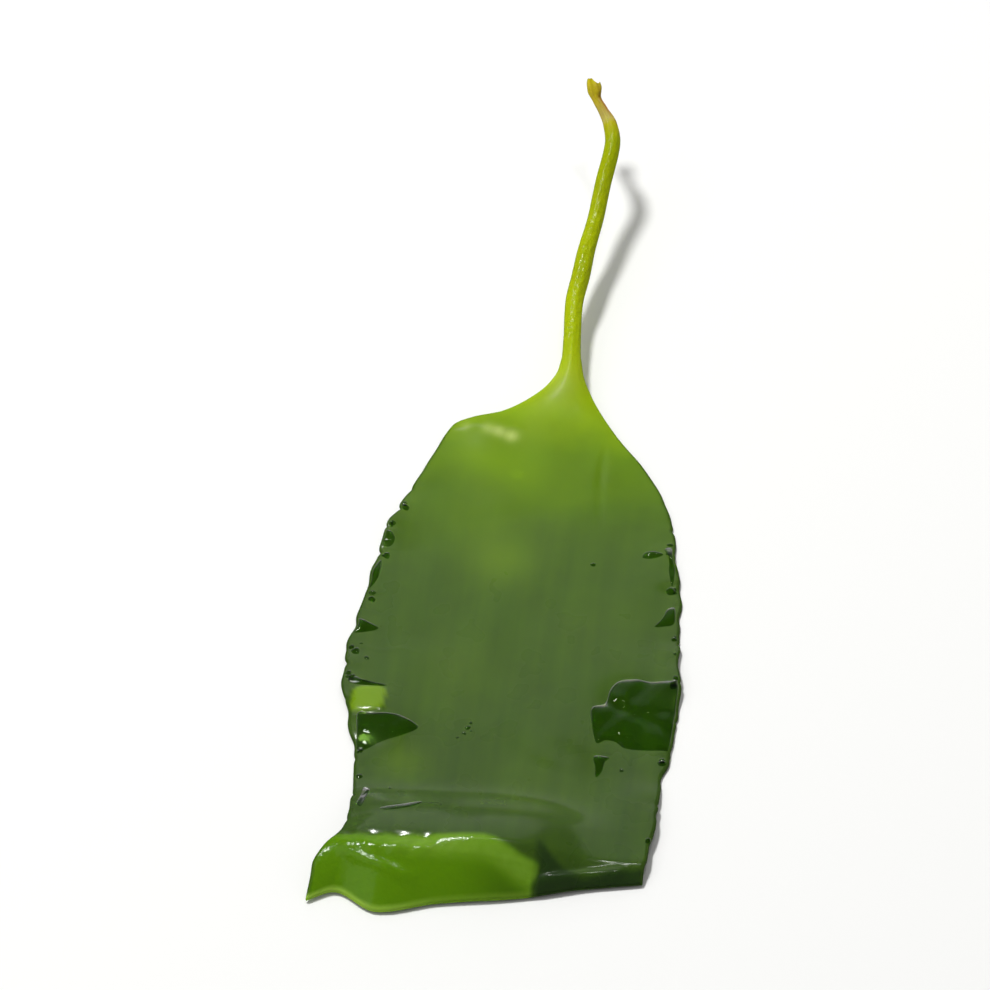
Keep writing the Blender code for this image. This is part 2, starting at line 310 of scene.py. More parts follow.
def lip_folds(x, distance, side):
    """Double the crest on its left, ridge the lip, and roll its free margin into a rim."""
    in_fold = smooth_step(0.0, 4.0, x - LIP_FOLD["start"])
    in_fold *= smooth_step(0.0, 4.0, LIP_FOLD["end"] - x) * (0.7 + 0.3 * np.sin(1.4 * x))
    groove = np.exp(-((distance - LIP_FOLD["groove_at"]) ** 2))
    ridge = np.exp(-(((distance - LIP_FOLD["ridge_at"]) / 1.2) ** 2))
    start, end = np.array(LIP_RIDGE["from"]), np.array(LIP_RIDGE["to"])
    length = np.linalg.norm(end - start)
    heading = (end - start) / length
    up_to = (x - start[0]) * heading[0] + (distance - start[1]) * heading[1]
    beside = (x - start[0]) * heading[1] - (distance - start[1]) * heading[0]
    lip_ridge = np.exp(-((beside / LIP_RIDGE["width"]) ** 2))
    lip_ridge *= smooth_step(0.0, 3.0, up_to) * smooth_step(0.0, 3.0, length - up_to)
    in_rim = smooth_step(0.0, 3.0, x - ROLLED_RIM["start"])
    in_rim *= smooth_step(0.0, 3.0, ROLLED_RIM["end"] - x)
    to_end = smooth_through(END_MARGIN, side) - distance
    rim = np.exp(-(((to_end - ROLLED_RIM["from_end"]) / ROLLED_RIM["width"]) ** 2))
    doubled = LIP_FOLD["depth"] * in_fold * (ridge - groove)
    return doubled + LIP_RIDGE["height"] * lip_ridge + ROLLED_RIM["height"] * in_rim * rim


def table_gap(x, distance, side, width):
    """Give the height of the blade's underside over the table, 0 wherever it lies on it."""
    on_blade = smooth_step(*WAVES_START, distance)
    before_crest = 1.0 - smooth_step(*WAVES_END, distance)
    height = smooth_through(STANDS_AT, distance)
    for size, along_length, across_length, phase in SHEET_WAVES:
        travel = 2.0 * np.pi * (distance / along_length + x / across_length)
        height = height + size * np.sin(travel + phase) * on_blade * before_crest
    ruffles = np.where(side < 0.0, waves(LEFT_RUFFLES, distance), waves(RIGHT_RUFFLES, distance))
    height = height + ruffles * np.abs(side) ** RUFFLE_GRIP * on_blade * before_crest
    height = height + soft_spots(SWELLINGS, x, distance) * before_crest
    lifted = np.maximum(height, 0.0)
    settled = lifted * lifted / (lifted + SETTLE)
    height = np.where(distance > 0.0, lifted + (settled - lifted) * on_blade, lifted)
    height = height + crest_height(distance, side) * smooth_step(*CREST_STARTS, distance)
    to_margin = width * (1.0 - np.abs(side))
    frill = waves(FRILL, distance + 4.0 * np.sign(side)) * np.exp(-((to_margin / FRILL_WIDTH) ** 2))
    folds = lip_folds(x, distance, side)
    return np.maximum(height + folds + frill * on_blade * before_crest, 0.0)


# Thin fresh green spots, where the tissue differs, and pale spots of painted sheen where small
# ridges would catch the light, each as (x, along, radius, strength); the dry neck is brown
LIME_SPOTS = (
    (-7.5, 47.0, 6.0, 0.4), (-15.0, 21.0, 5.5, 0.8), (-8.5, 24.0, 6.5, 0.6), (-1.0, 29.0, 8.0, 0.25),
    (-7.0, 26.8, 0.9, 0.9), (-13.0, 36.0, 8.0, 0.2), (-12.0, 74.0, 9.0, 0.12),
    (-19.0, 95.0, 4.0, 0.25), (3.0, 98.0, 10.0, 0.1), (12.0, 60.0, 9.0, 0.06),
)
GLEAM_SPOTS = (
    (-13.5, 16.9, 1.2, 0.5), (-11.5, 17.3, 1.1, 0.8), (-9.2, 17.9, 1.2, 0.9), (-17.5, 16.6, 1.0, 0.3),
    (-1.5, 5.5, 3.2, 0.16),
)

# The neck's brown is on its right. The bright lip ends at this x, its upper line drops towards
# there, and right of it the roll is dark below a line of (x, along). The lip's bright green is
# partly painted light shining through it, and the blotches mottle a painted sheen along its top.
NECK_BROWN = {"side": 0.75, "side_width": 0.5, "along": -52.6, "length": 3.0}
LIP_ENDS_AT = 6.6
LIP_TOP_DROP = 3.0
LIP_SHEEN_BLOTCHES = ((0.07, 3.1, 0.4), (0.06, 1.9, 2.3))
ROLL_LINE = ((6.0, 112.4), (9.9, 116.0), (14.0, 117.6), (19.5, 115.8), (24.0, 114.6))


def tissue_facts(x, distance, side, width):
    """Note what the colour depends on: the place, the margin, the spots, the lip and the neck,
    with painted sheen, shade and highlights among them.
    """
    crest = CREST_AT + CREST_SLANT * side
    lip_top = crest - 0.5 + LIP_TOP_DROP * smooth_step(-3.0, LIP_ENDS_AT, x)
    beyond_crest = smooth_step(-0.7, 0.7, distance - lip_top)
    beyond_roll_line = smooth_step(-0.7, 0.7, distance - smooth_through(ROLL_LINE, x))
    past_lip = smooth_step(-0.8, 0.8, x - LIP_ENDS_AT + 0.3 * np.sin(distance))
    lime = soft_spots(LIME_SPOTS, x, distance) + 1.1 * on_flap(x, distance)
    front = distance - lip_top
    # The lip's free margin is painted pale: partly its thin cut edge, partly a painted highlight
    on_pale_rim = smooth_step(1.0, 0.3, smooth_through(END_MARGIN, side) - distance)
    # A paler, greyer band along the lip's top: a painted sheen where the lip curves over
    lip_sheen_band = smooth_step(-0.8, 1.0, front) * smooth_step(4.8, 1.8, front)
    # The lower right of the lip is painted darker: painted shade in the dark roll's green
    in_shade = smooth_step(3.0, 5.5, front) * smooth_step(-8.0, 7.0, x)
    from_brown = ((side - NECK_BROWN["side"]) / NECK_BROWN["side_width"]) ** 2
    from_brown = from_brown + ((distance - NECK_BROWN["along"]) / NECK_BROWN["length"]) ** 2
    sheen_blotches = 0.75 + waves(LIP_SHEEN_BLOTCHES, x + 0.6 * distance) + waves(LIP_SHEEN_BLOTCHES, 1.7 * distance)
    return {
        "along": distance,
        "margin": width * (1.0 - np.abs(side)) * smooth_step(8.0, 16.0, distance),
        "lime": np.minimum(lime, 1.0),
        # Pale spots of painted sheen
        "gleam": np.minimum(soft_spots(GLEAM_SPOTS, x, distance), 1.0),
        "brown": np.exp(-from_brown),
        "lip": beyond_crest * (1.0 - past_lip),
        "lip_sheen": lip_sheen_band * smooth_step(-24.0, -12.0, x) * (1.0 - past_lip) * sheen_blotches,
        # The dark roll past the lip, and painted shade on the lip's lower right
        "roll": np.maximum(beyond_roll_line * past_lip, 0.5 * in_shade * (1.0 - past_lip)),
        "rim": on_pale_rim * (1.0 - past_lip) * (1.0 - 0.7 * smooth_step(-22.0, -6.0, x)),
    }


def kelp_rings():
    """Place every ring's upper and lower points, and note where each lies on the plant."""
    stipe_rows = np.linspace(-STIPE_REACH, ROUND_UP_TO, ROWS_STIPE, endpoint=False)
    blade_rows = np.linspace(ROUND_UP_TO, BLADE_REACH - END_ROWS[0], ROWS_BLADE, endpoint=False)
    end_rows = BLADE_REACH - np.array(END_ROWS)
    along = np.concatenate([stipe_rows, blade_rows, end_rows])[:, None]
    inner = np.linspace(0.02, 0.98, COLUMNS)
    margin = np.array(MARGIN_COLUMNS)
    column = np.concatenate([margin, inner, 1.0 - margin[::-1]])[None, :]

    angle = np.pi * (ROUND_END + column * (1.0 - 2.0 * ROUND_END))
    flat = flatness(along)
    crowding = 1.0 - (1.0 - MARGIN_CROWDING) * flat
    side = crowding * -np.cos(angle) + (1.0 - crowding) * (2.0 * column - 1.0)
    along = along + 0.0 * side
    roundness = np.sin(angle) + 0.0 * side

    width = half_width(along, side)
    turn = smooth_through(MIDDLE_LINE, along + 0.5) - smooth_through(MIDDLE_LINE, along - 0.5)
    scale = 1.0 / np.sqrt(1.0 + turn**2)
    x = smooth_through(MIDDLE_LINE, along) + scale * side * width
    y = -along + turn * scale * side * width
    bend = smooth_step(END_BENDS_FROM, BLADE_REACH, along)
    y = y - bend * (smooth_through(END_MARGIN, side) - BLADE_REACH)

    own_half = half_thickness(along, side, roundness)
    axis_half = half_thickness(along, 0.0 * side, 1.0 + 0.0 * side)
    gap = np.where(along <= 0.0, smooth_through(STANDS_AT, along), table_gap(x, -y, side, width))
    middle = np.stack([x, y, gap + (1.0 - flat) * axis_half + flat * own_half], axis=-1)

    ahead = np.gradient(middle, axis=0)
    across = np.gradient(middle, axis=1)
    normal = np.cross(ahead, across)
    normal /= np.linalg.norm(normal, axis=-1, keepdims=True)
    normal *= np.sign(normal[..., 2:])

    at_torn_end = smooth_step(-STIPE_REACH + TORN_LENGTH, -STIPE_REACH, along)
    at_neck = smooth_step(*NECK, along)
    halves = []
    for sign in (1.0, -1.0):
        round_angle = sign * np.pi * column
        swell = 1.0 + at_torn_end * TORN_DEPTH * np.cos(TORN_LOBES * round_angle + 0.7)
        for grooves, amount in ((STIPE_GROOVES, 1.0 - flat), (NECK_WRINKLES, at_neck)):
            for count, depth, twist in grooves:
                winding = count * round_angle + 2.0 * np.pi * along / twist
                swell = swell + depth * np.sin(winding) * amount
        half = middle + sign * normal * (own_half * swell)[..., None]
        half[..., 1] += TORN_STEP * at_torn_end * np.sin(2.0 * round_angle + 0.4)
        halves.append(half)
    halves[0][..., 2] += skin_relief(x, -y)
    halves[1][..., 2] = np.where(halves[1][..., 2] < LIES_BELOW, 0.0, halves[1][..., 2])
    return halves[0], halves[1], tissue_facts(x, -y * flat + along * (1.0 - flat), side, width)


def closed_skin(upper, lower):
    """Join the two halves into one skin: both faces, the strips at the margins and both ends."""
    rows, wide = upper.shape[:2]
    number = np.arange(rows * wide).reshape(rows, wide)
    under = number + rows * wide
    a, b, c, d = number[:-1, :-1], number[1:, :-1], number[1:, 1:], number[:-1, 1:]
    quads = [np.stack([a, b, c, d], axis=-1).reshape(-1, 4)]
    a, b, c, d = under[:-1, :-1], under[:-1, 1:], under[1:, 1:], under[1:, :-1]
    quads.append(np.stack([a, b, c, d], axis=-1).reshape(-1, 4))
    quads.append(np.stack([number[:-1, 0], under[:-1, 0], under[1:, 0], number[1:, 0]], axis=-1))
    quads.append(np.stack([number[1:, -1], under[1:, -1], under[:-1, -1], number[:-1, -1]], axis=-1))
    quads.append(np.stack([number[0, :-1], number[0, 1:], under[0, 1:], under[0, :-1]], axis=-1))
    quads.append(np.stack([number[-1, 1:], number[-1, :-1], under[-1, :-1], under[-1, 1:]], axis=-1))
    points = np.concatenate([upper.reshape(-1, 3), lower.reshape(-1, 3)])
    return points, np.concatenate(quads)


upper, lower, facts = kelp_rings()
points, quads = closed_skin(upper, lower)
footprint = (points.min(axis=0) + points.max(axis=0)) / 2.0
footprint[2] = 0.0
kelp_mesh = bpy.data.meshes.new("kelp_sheet")
kelp_mesh.from_pydata(((points - footprint) * MM).tolist(), [], quads.tolist())
for name, values in facts.items():
    both = np.concatenate([values.ravel(), values.ravel()]).astype(np.float32)
    kelp_mesh.attributes.new(name, "FLOAT", "POINT").data.foreach_set("value", both)
kelp_mesh.shade_smooth()
kelp = bpy.data.objects.new("kelp_sheet", kelp_mesh)
bpy.context.scene.collection.objects.link(kelp)


def linear(hex_colour):
    """Turn an sRGB hex colour into the linear colour that a shader takes."""
    channels = [int(hex_colour[i : i + 2], 16) / 255.0 for i in (1, 3, 5)]
    bent = [c / 12.92 if c <= 0.04045 else ((c + 0.055) / 1.055) ** 2.4 for c in channels]
    return (*bent, 1.0)


def node(tree, kind, settings=None, **inputs):
    """Add a node, with its settings, and link or set each input by name."""
    new = tree.nodes.new(kind)
    for key, value in (settings or {}).items():
        setattr(new, key, value)
    for key, value in inputs.items():
        socket = new.inputs[int(key[1:])] if key[0] == "_" else new.inputs[key.replace("_", " ")]
        if isinstance(value, bpy.types.NodeSocket):
            tree.links.new(value, socket)
        else:
            socket.default_value = value
    return new


# Soaked kelp: gelatinous tissue that swelled up in brine. It is a translucent olive to bottle
# green, lime where it is thin and fresh, and it has a wet, faintly uneven sheen.

KELP_ALONG = (
    (-59.0, "#bcae14"), (-56.0, "#b4a024"), (-54.0, "#b3a04e"), (-51.0, "#b8ac52"),
    (-49.0, "#b0aa14"), (-44.0, "#98a404"), (-14.0, "#a6b404"), (2.0, "#a1b604"),
    (12.0, "#86a508"), (22.0, "#608305"), (32.0, "#4c6d06"), (50.0, "#3b5908"),
    (76.0, "#355209"), (112.0, "#2e4a09"),
)
RAMP_START = -60.0
RAMP_LENGTH = 175.0
LIME_TISSUE = "#6e9104"
# The pale colour of the painted sheen on small ridges
GLEAM_COLOUR = "#b7c96a"
BROWN_TISSUE = "#9a6222"
# The lip's green is partly its own and partly painted light shining through the thin lip
LIP_GREEN_LIT_THROUGH = "#578303"
# The painted sheen along the lip's top
LIP_SHEEN_COLOUR = "#729a2a"
# The dark roll's own green, also used for painted shade on the lip
ROLL_AND_SHADE_GREEN = "#1d3606"
# Pale free margin of the lip: partly the thin edge, partly a painted highlight
PALE_RIM_AND_HIGHLIGHT = "#8db33c"
# A painted shade along the very margin
MARGIN_SHADE = "#2b4504"

soaked_kelp = bpy.data.materials.new("soaked kelp, wet skin")
soaked_kelp.use_nodes = True
tree = soaked_kelp.node_tree
surface = tree.nodes["Principled BSDF"]
place = node(tree, "ShaderNodeTexCoord").outputs["Object"]
fact = {
    name: node(tree, "ShaderNodeAttribute", {"attribute_name": name}).outputs["Fac"]
    for name in facts
}

# The green deepens along the blade, and the change wanders by a few millimetres
drift = node(tree, "ShaderNodeTexNoise", Vector=place, Scale=1.0 / (16 * MM), Detail=2.0)
wander = node(
    tree, "ShaderNodeMath", {"operation": "MULTIPLY_ADD"}, _0=drift.outputs["Fac"], _1=14.0, _2=-7.0
)
shifted = node(tree, "ShaderNodeMath", {"operation": "ADD"}, _0=fact["along"], _1=wander.outputs[0])
ramp_place = node(
    tree, "ShaderNodeMapRange", Value=shifted.outputs[0],
    From_Min=RAMP_START, From_Max=RAMP_START + RAMP_LENGTH,
)
ramp = node(tree, "ShaderNodeValToRGB", Fac=ramp_place.outputs[0])
stops = ramp.color_ramp.elements
while len(stops) < len(KELP_ALONG):
    stops.new(0.5)
for stop, (where, colour) in zip(stops, KELP_ALONG):
    stop.position = (where - RAMP_START) / RAMP_LENGTH
    stop.color = linear(colour)

# Lengthwise fibres, 3 mm wide and 5 cm long, faintly show through the skin as paler streaks
along_fibres = node(
    tree, "ShaderNodeMapping", Vector=place, Scale=(1.0 / (3 * MM), 1.0 / (50 * MM), 1.0 / (50 * MM))
)
fibres = node(tree, "ShaderNodeTexNoise", Vector=along_fibres.outputs[0], Scale=1.0, Detail=3.0)
fibre_amount = node(
    tree, "ShaderNodeMapRange", Value=fibres.outputs["Fac"],
    From_Min=0.3, From_Max=0.8, To_Max=0.1,
)
colour = node(
    tree, "ShaderNodeMixRGB",
    Fac=fibre_amount.outputs[0], Color1=ramp.outputs["Color"], Color2=linear(LIME_TISSUE),
)

# Clouded, thicker tissue in patches of about a centimetre
clouds = node(tree, "ShaderNodeTexNoise", Vector=place, Scale=1.0 / (11 * MM), Detail=3.0)
cloud_amount = node(
    tree, "ShaderNodeMapRange", Value=clouds.outputs["Fac"],
    From_Min=0.2, From_Max=0.8, To_Min=1.14, To_Max=0.86,
)
colour = node(
    tree, "ShaderNodeVectorMath", {"operation": "SCALE"},
    _0=colour.outputs["Color"], Scale=cloud_amount.outputs[0],
)

# A painted shade darkens the very margin. The colour also differs at the spots, on the lip and at
# the neck: of these, the pale spots are a painted sheen, and the lip has painted light through
# it, a painted sheen, painted shade and a painted highlight
margin_shade_reach = node(
    tree, "ShaderNodeMapRange", Value=fact["margin"],
    From_Min=0.15, From_Max=0.7, To_Min=0.75, To_Max=0.0,
)
on_blade = node(
    tree, "ShaderNodeMapRange", Value=fact["along"], From_Min=12.0, From_Max=20.0
)
margin_shade_amount = node(
    tree, "ShaderNodeMath", {"operation": "MULTIPLY"}, _0=margin_shade_reach.outputs[0], _1=on_blade.outputs[0]
)
blends = (
    (fact["lime"], LIME_TISSUE), (fact["gleam"], GLEAM_COLOUR), (fact["brown"], BROWN_TISSUE),
    (fact["lip"], LIP_GREEN_LIT_THROUGH), (fact["lip_sheen"], LIP_SHEEN_COLOUR), (fact["roll"], ROLL_AND_SHADE_GREEN),
    (margin_shade_amount.outputs[0], MARGIN_SHADE), (fact["rim"], PALE_RIM_AND_HIGHLIGHT),
)
blended = colour.outputs[0]
for amount, tissue in blends:
    blended = node(
        tree, "ShaderNodeMixRGB", Fac=amount, Color1=blended, Color2=linear(tissue)
    ).outputs["Color"]
tree.links.new(blended, surface.inputs["Base Color"])

# The stipe and the lip are slick. The foot of the blade is dull, and its lower part silky.
wetness = node(tree, "ShaderNodeTexNoise", Vector=place, Scale=1.0 / (7 * MM), Detail=2.0)
unevenness = node(
    tree, "ShaderNodeMapRange", Value=wetness.outputs["Fac"],
    From_Min=0.2, From_Max=0.8, To_Min=0.8, To_Max=1.2,
)
foot_roughness = node(
    tree, "ShaderNodeMapRange", Value=fact["along"],
    From_Min=-12.0, From_Max=3.0, To_Min=0.15, To_Max=0.45,
)
silkier = node(
    tree, "ShaderNodeMapRange", Value=fact["along"],
    From_Min=22.0, From_Max=55.0, To_Min=1.0, To_Max=0.65,
)
roughness = node(
    tree, "ShaderNodeMath", {"operation": "MULTIPLY"},
    _0=foot_roughness.outputs[0], _1=silkier.outputs[0],
)
roughness = node(tree, "ShaderNodeMix", _0=fact["lip"], _2=roughness.outputs[0], _3=0.15)
roughness = node(
    tree, "ShaderNodeMath", {"operation": "MULTIPLY"},
    _0=roughness.outputs[0], _1=unevenness.outputs[0],
)
tree.links.new(roughness.outputs[0], surface.inputs["Roughness"])
surface.inputs["IOR"].default_value = 1.36
surface.inputs["Specular IOR Level"].default_value = 0.2
surface.inputs["Subsurface Weight"].default_value = 0.35
surface.inputs["Subsurface Radius"].default_value = (0.7, 1.0, 0.15)
surface.inputs["Subsurface Scale"].default_value = 1.2 * MM

# A film of brine covers the thick of the blade, and gives it a grey veil. The lip is bare of it.
film = node(
    tree, "ShaderNodeMapRange", {"interpolation_type": "SMOOTHSTEP"}, Value=shifted.outputs[0],
    From_Min=14.0, From_Max=50.0, To_Min=0.03, To_Max=0.9,
)
bare = node(
    tree, "ShaderNodeMath", {"operation": "MULTIPLY_ADD"}, _0=fact["lip"], _1=-0.8, _2=1.0
)
film = node(
    tree, "ShaderNodeMath", {"operation": "MULTIPLY"}, _0=film.outputs[0], _1=bare.outputs[0]
)
tree.links.new(film.outputs[0], surface.inputs["Coat Weight"])
surface.inputs["Coat Roughness"].default_value = 0.15
surface.inputs["Coat IOR"].default_value = 1.33

# The blade is smooth. The stipe, and less so the lip, is pitted every millimetre, which breaks its
# shine into dots
skin_grain = node(tree, "ShaderNodeTexNoise", Vector=place, Scale=1.0 / (0.9 * MM), Detail=2.0)
grain_depth = node(
    tree, "ShaderNodeMapRange", Value=fact["along"],
    From_Min=-6.0, From_Max=6.0, To_Min=1.0, To_Max=0.05,
)
grain_depth = node(
    tree, "ShaderNodeMath", {"operation": "MULTIPLY_ADD"},
    _0=fact["lip"], _1=0.3, _2=grain_depth.outputs[0],
)
grain = node(
    tree, "ShaderNodeMath", {"operation": "MULTIPLY"},
    _0=skin_grain.outputs["Fac"], _1=grain_depth.outputs[0],
)
skin_bump = node(
    tree, "ShaderNodeBump", Height=grain.outputs[0], Strength=1.0, Distance=0.3 * MM
)
tree.links.new(skin_bump.outputs["Normal"], surface.inputs["Normal"])

kelp_mesh.materials.append(soaked_kelp)
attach(kelp, "root")
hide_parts("kelp_sprout")


# Brine that stands on the blade: a dozen shallow pools with ragged outlines, and rows of beads that
# cling to the torn places of both margins. Each is salt water that the kelp stained green, domed,
# with a steep rim.

# Each pool's height, and its outline as (x, along). What would reach past a margin ends there.
POOLS = (
    (0.7, ((14.7, 75.2), (16.1, 73.1), (18.7, 72.4), (21.3, 72.7), (23.9, 72.4), (28.0, 72.5),
            (28.0, 78.0), (28.0, 83.0), (28.0, 86.8), (24.1, 87.5), (20.6, 87.6), (18.4, 87.3),
            (17.0, 86.3), (15.2, 86.2), (13.8, 87.3), (12.9, 85.1), (12.1, 81.7), (12.1, 79.4),
            (14.2, 78.1))),
    (0.6, ((-28.2, 85.4), (-25.5, 85.6), (-23.0, 85.3), (-20.2, 85.4), (-17.3, 87.0),
           (-19.2, 89.0), (-23.1, 91.2), (-26.9, 93.5), (-27.7, 89.6))),
    (0.3, ((-30.8, 78.4), (-29.5, 77.3), (-28.3, 78.3), (-24.0, 78.6), (-25.0, 79.1),
           (-29.0, 79.2))),
    (0.45, ((-32.0, 64.4), (-30.6, 63.5), (-29.4, 64.1), (-27.1, 65.3), (-28.6, 66.3),
            (-32.0, 66.8))),
    (0.4, ((-28.7, 49.5), (-28.5, 52.0), (-29.0, 54.6), (-30.4, 57.0), (-30.2, 54.0),
           (-29.6, 51.0))),
    (0.45, ((-29.5, 43.6), (-27.9, 42.9), (-26.9, 44.4), (-27.5, 46.1), (-29.2, 46.0))),
    (0.4, ((17.3, 43.6), (17.8, 42.3), (19.2, 42.1), (20.9, 42.6), (20.0, 43.5), (18.6, 43.9))),
    (0.4, ((21.0, 41.4), (22.2, 40.7), (22.9, 43.0), (23.4, 46.0), (23.2, 49.9), (22.3, 46.5),
           (22.1, 43.4))),
    (0.45, ((22.8, 55.2), (24.2, 54.6), (24.4, 58.2), (22.6, 59.2), (21.0, 59.4), (22.2, 57.6))),
    (0.25, ((-24.9, 101.8), (-23.6, 102.4), (-23.9, 104.6), (-24.4, 107.8), (-25.4, 106.9),
            (-25.0, 104.6))),
    (0.2, ((-21.0, 108.4), (-16.4, 106.6), (-14.2, 105.6), (-15.4, 107.4), (-19.4, 109.0))),
    (0.4, ((13.6, 90.2), (16.2, 90.0), (15.6, 91.1), (15.3, 93.2), (14.4, 94.6), (14.0, 92.4))),
)

# Single specks of brine on the open blade, as (x, along, radius)
SPECKS = (
    (-8.4, 85.0, 0.3), (-8.8, 86.1, 0.4), (-8.1, 86.9, 0.25), (-9.3, 87.5, 0.45),
    (-10.3, 88.6, 0.3), (8.8, 46.3, 0.4), (18.6, 92.4, 0.4), (-29.6, 69.2, 0.3),
    (-28.2, 72.6, 0.4), (-20.4, 101.6, 0.3),
)

# (side, along, count) of the clusters of beads at a margin
BEAD_CLUSTERS = (
    (-1, 36.0, 2), (-1, 42.0, 2), (-1, 49.0, 2), (-1, 58.0, 2), (-1, 69.5, 2), (-1, 77.0, 3),
    (-1, 94.0, 2), (-1, 100.0, 1), (1, 41.0, 2), (1, 51.0, 3), (1, 60.5, 2), (1, 65.0, 1),
    (1, 73.0, 3), (1, 89.0, 2), (1, 109.0, 1),
)
BEAD_RADII = (0.25, 0.7)
BEAD_SPREAD = 1.6
BEAD_FROM_MARGIN = (1.2, 2.8)
BEAD_HEIGHT = 0.6
SPECK_HEIGHT = 0.4
POOL_RINGS = 12
DROP_RINGS = 5
SUNK = 0.06
RIM_DIP = 0.01
LEAN = 0.5
FROM_MARGIN = 0.35
EDGE_STEPS = 5
OVERHEAD = 90.0

# Each ripple's height as a share of the drop's own, its length and its phase
RIPPLES = ((0.11, 5.9, 2.1), (0.07, 3.7, 0.4))

ground = BVHTree.FromPolygons(points.tolist(), quads.tolist())


def height_of_skin(x, distance, fallback):
    """Find the upper skin below a point, in millimetres, or give the fallback beside the blade."""
    hit = ground.ray_cast((x, -distance, OVERHEAD), (0.0, 0.0, -1.0))[0]
    return hit.z if hit is not None else fallback


def closed_curve(outline):
    """Run a smooth closed curve through the points of an outline, and end it at the margins."""
    points = np.array(outline)
    t = np.linspace(0.0, 1.0, EDGE_STEPS, endpoint=False)[None, :, None]
    before, start, end, after = (np.roll(points, by, axis=0)[:, None, :] for by in (1, 0, -1, -2))
    bend = 2.0 * start + (end - before) * t
    bend = bend + (2.0 * before - 5.0 * start + 4.0 * end - after) * t**2
    bend = bend + (3.0 * start - before - 3.0 * end + after) * t**3
    curve = 0.5 * bend.reshape(-1, 2)
    limit = half_width(curve[:, 1], np.sign(curve[:, 0])) - FROM_MARGIN
    curve[:, 0] = np.clip(curve[:, 0], -limit, limit)
    return curve


def add_drop(corners, faces, outline, height, rings):
    """Add a closed drop that fills the hollow below it, and stands highest at its far side."""
    edge = closed_curve(outline)
    segments = len(edge)
    spread = segments // 4
    window = [np.roll(edge, by, axis=0) for by in range(-spread, spread + 1)]
    rounded = np.mean(window, axis=0)
    centre = edge.mean(axis=0)
    reach = np.abs(edge[:, 1] - centre[1]).max()
    rim_heights = [height_of_skin(x, along, 0.0) for x, along in edge]
    level = float(np.mean(rim_heights))
    first = len(corners)
    for over in (True, False):
        bottom = height_of_skin(*centre, level) - SUNK
        corners.append((centre[0], -centre[1], level + height if over else bottom))
        for ring in range(1, rings + 1):
            # The rings crowd at the rim, and a wider drop has a flatter top and a steeper rim
            share = math.sin(0.5 * math.pi * ring / rings)
            dome = height * math.sqrt(1.0 - share ** (2.0 + 2.0 * reach))
            reached = rounded + (edge - rounded) * share**4
            for (x, along), rim in zip(centre + share * (reached - centre), rim_heights):
                skin = height_of_skin(x, along, level)
                ripple = 1.0 + waves(RIPPLES, x + 0.7 * along) + waves(RIPPLES, along - 0.4 * x)
                lean = 1.0 - LEAN * (along - centre[1]) / reach
                top = max(skin, level + (rim - level) * share**2) + dome * ripple * lean
                corners.append((x, -along, max(0.0, top - RIM_DIP if over else skin - SUNK)))
    under = 1 + rings * segments
    for i in range(segments):
        j = (i + 1) % segments
        faces.append((first, first + 1 + i, first + 1 + j))
        faces.append((first + under, first + under + 1 + j, first + under + 1 + i))
        for ring in range(rings - 1):
            a, b = first + 1 + ring * segments, first + 1 + (ring + 1) * segments
            faces.append((a + i, b + i, b + j, a + j))
            faces.append((a + under + j, b + under + j, b + under + i, a + under + i))
        rim = first + 1 + (rings - 1) * segments
        faces.append((rim + i, rim + under + i, rim + under + j, rim + j))


def ragged_ring(x, along, radius, count, least, most):
    """Draw a small outline round a point, with corners that stand out by a random reach."""
    turns = np.arange(count) * np.pi / (0.5 * count)
    reach = radius * seeded.uniform(least, most, count)
    return np.stack([x - reach * np.cos(turns), along - reach * np.sin(turns)], axis=-1)


corners, faces = [], []
for height, outline in POOLS:
    add_drop(corners, faces, outline, height, POOL_RINGS)
for x, distance, radius in SPECKS:
    outline = ragged_ring(x, distance, radius, count=5, least=0.6, most=1.5)
    add_drop(corners, faces, outline, SPECK_HEIGHT * radius, DROP_RINGS)
for side, distance, count in BEAD_CLUSTERS:
    for _ in range(count):
        at = distance + seeded.uniform(-BEAD_SPREAD, BEAD_SPREAD)
        radius = seeded.uniform(*BEAD_RADII)
        margin_at = side * float(half_width(np.array([at]), np.array([side]))[0])
        x = margin_at - side * radius * seeded.uniform(*BEAD_FROM_MARGIN)
        outline = ragged_ring(x, at, radius, count=6, least=0.75, most=1.5)
        add_drop(corners, faces, outline, BEAD_HEIGHT * radius, DROP_RINGS)
brine_mesh = bpy.data.meshes.new("brine_drops")
brine_mesh.from_pydata(((np.array(corners) - footprint) * MM).tolist(), [], faces)
brine_mesh.shade_smooth()
brine = bpy.data.objects.new("brine_drops", brine_mesh)
bpy.context.scene.collection.objects.link(brine)

# Drops this thin let the light through, where the renderer would give them a solid's dark shadow
brine.visible_shadow = False

# Salt water, clear and as smooth as glass, with the green of the kelp in it. Its IOR of 1.34 is
# lowered to 1.15, to match drops that hardly bend or mirror what is round them.
green_brine = bpy.data.materials.new("green stained brine, standing in drops")
green_brine.use_nodes = True
brine_surface = green_brine.node_tree.nodes["Principled BSDF"]
brine_surface.inputs["Base Color"].default_value = linear("#4b6d21")
brine_surface.inputs["Roughness"].default_value = 0.0
brine_surface.inputs["IOR"].default_value = 1.15
brine_surface.inputs["Transmission Weight"].default_value = 1.0
brine_mesh.materials.append(green_brine)
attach(brine, "root")


# The table and the studio: a seamless pale sheet, a small bright key lamp high behind, a wide dim
# panel behind that the flat blade mirrors as a grey veil, a soft fill from the left, and a small
# second lamp overhead for the glints on the rolled end and the drops.

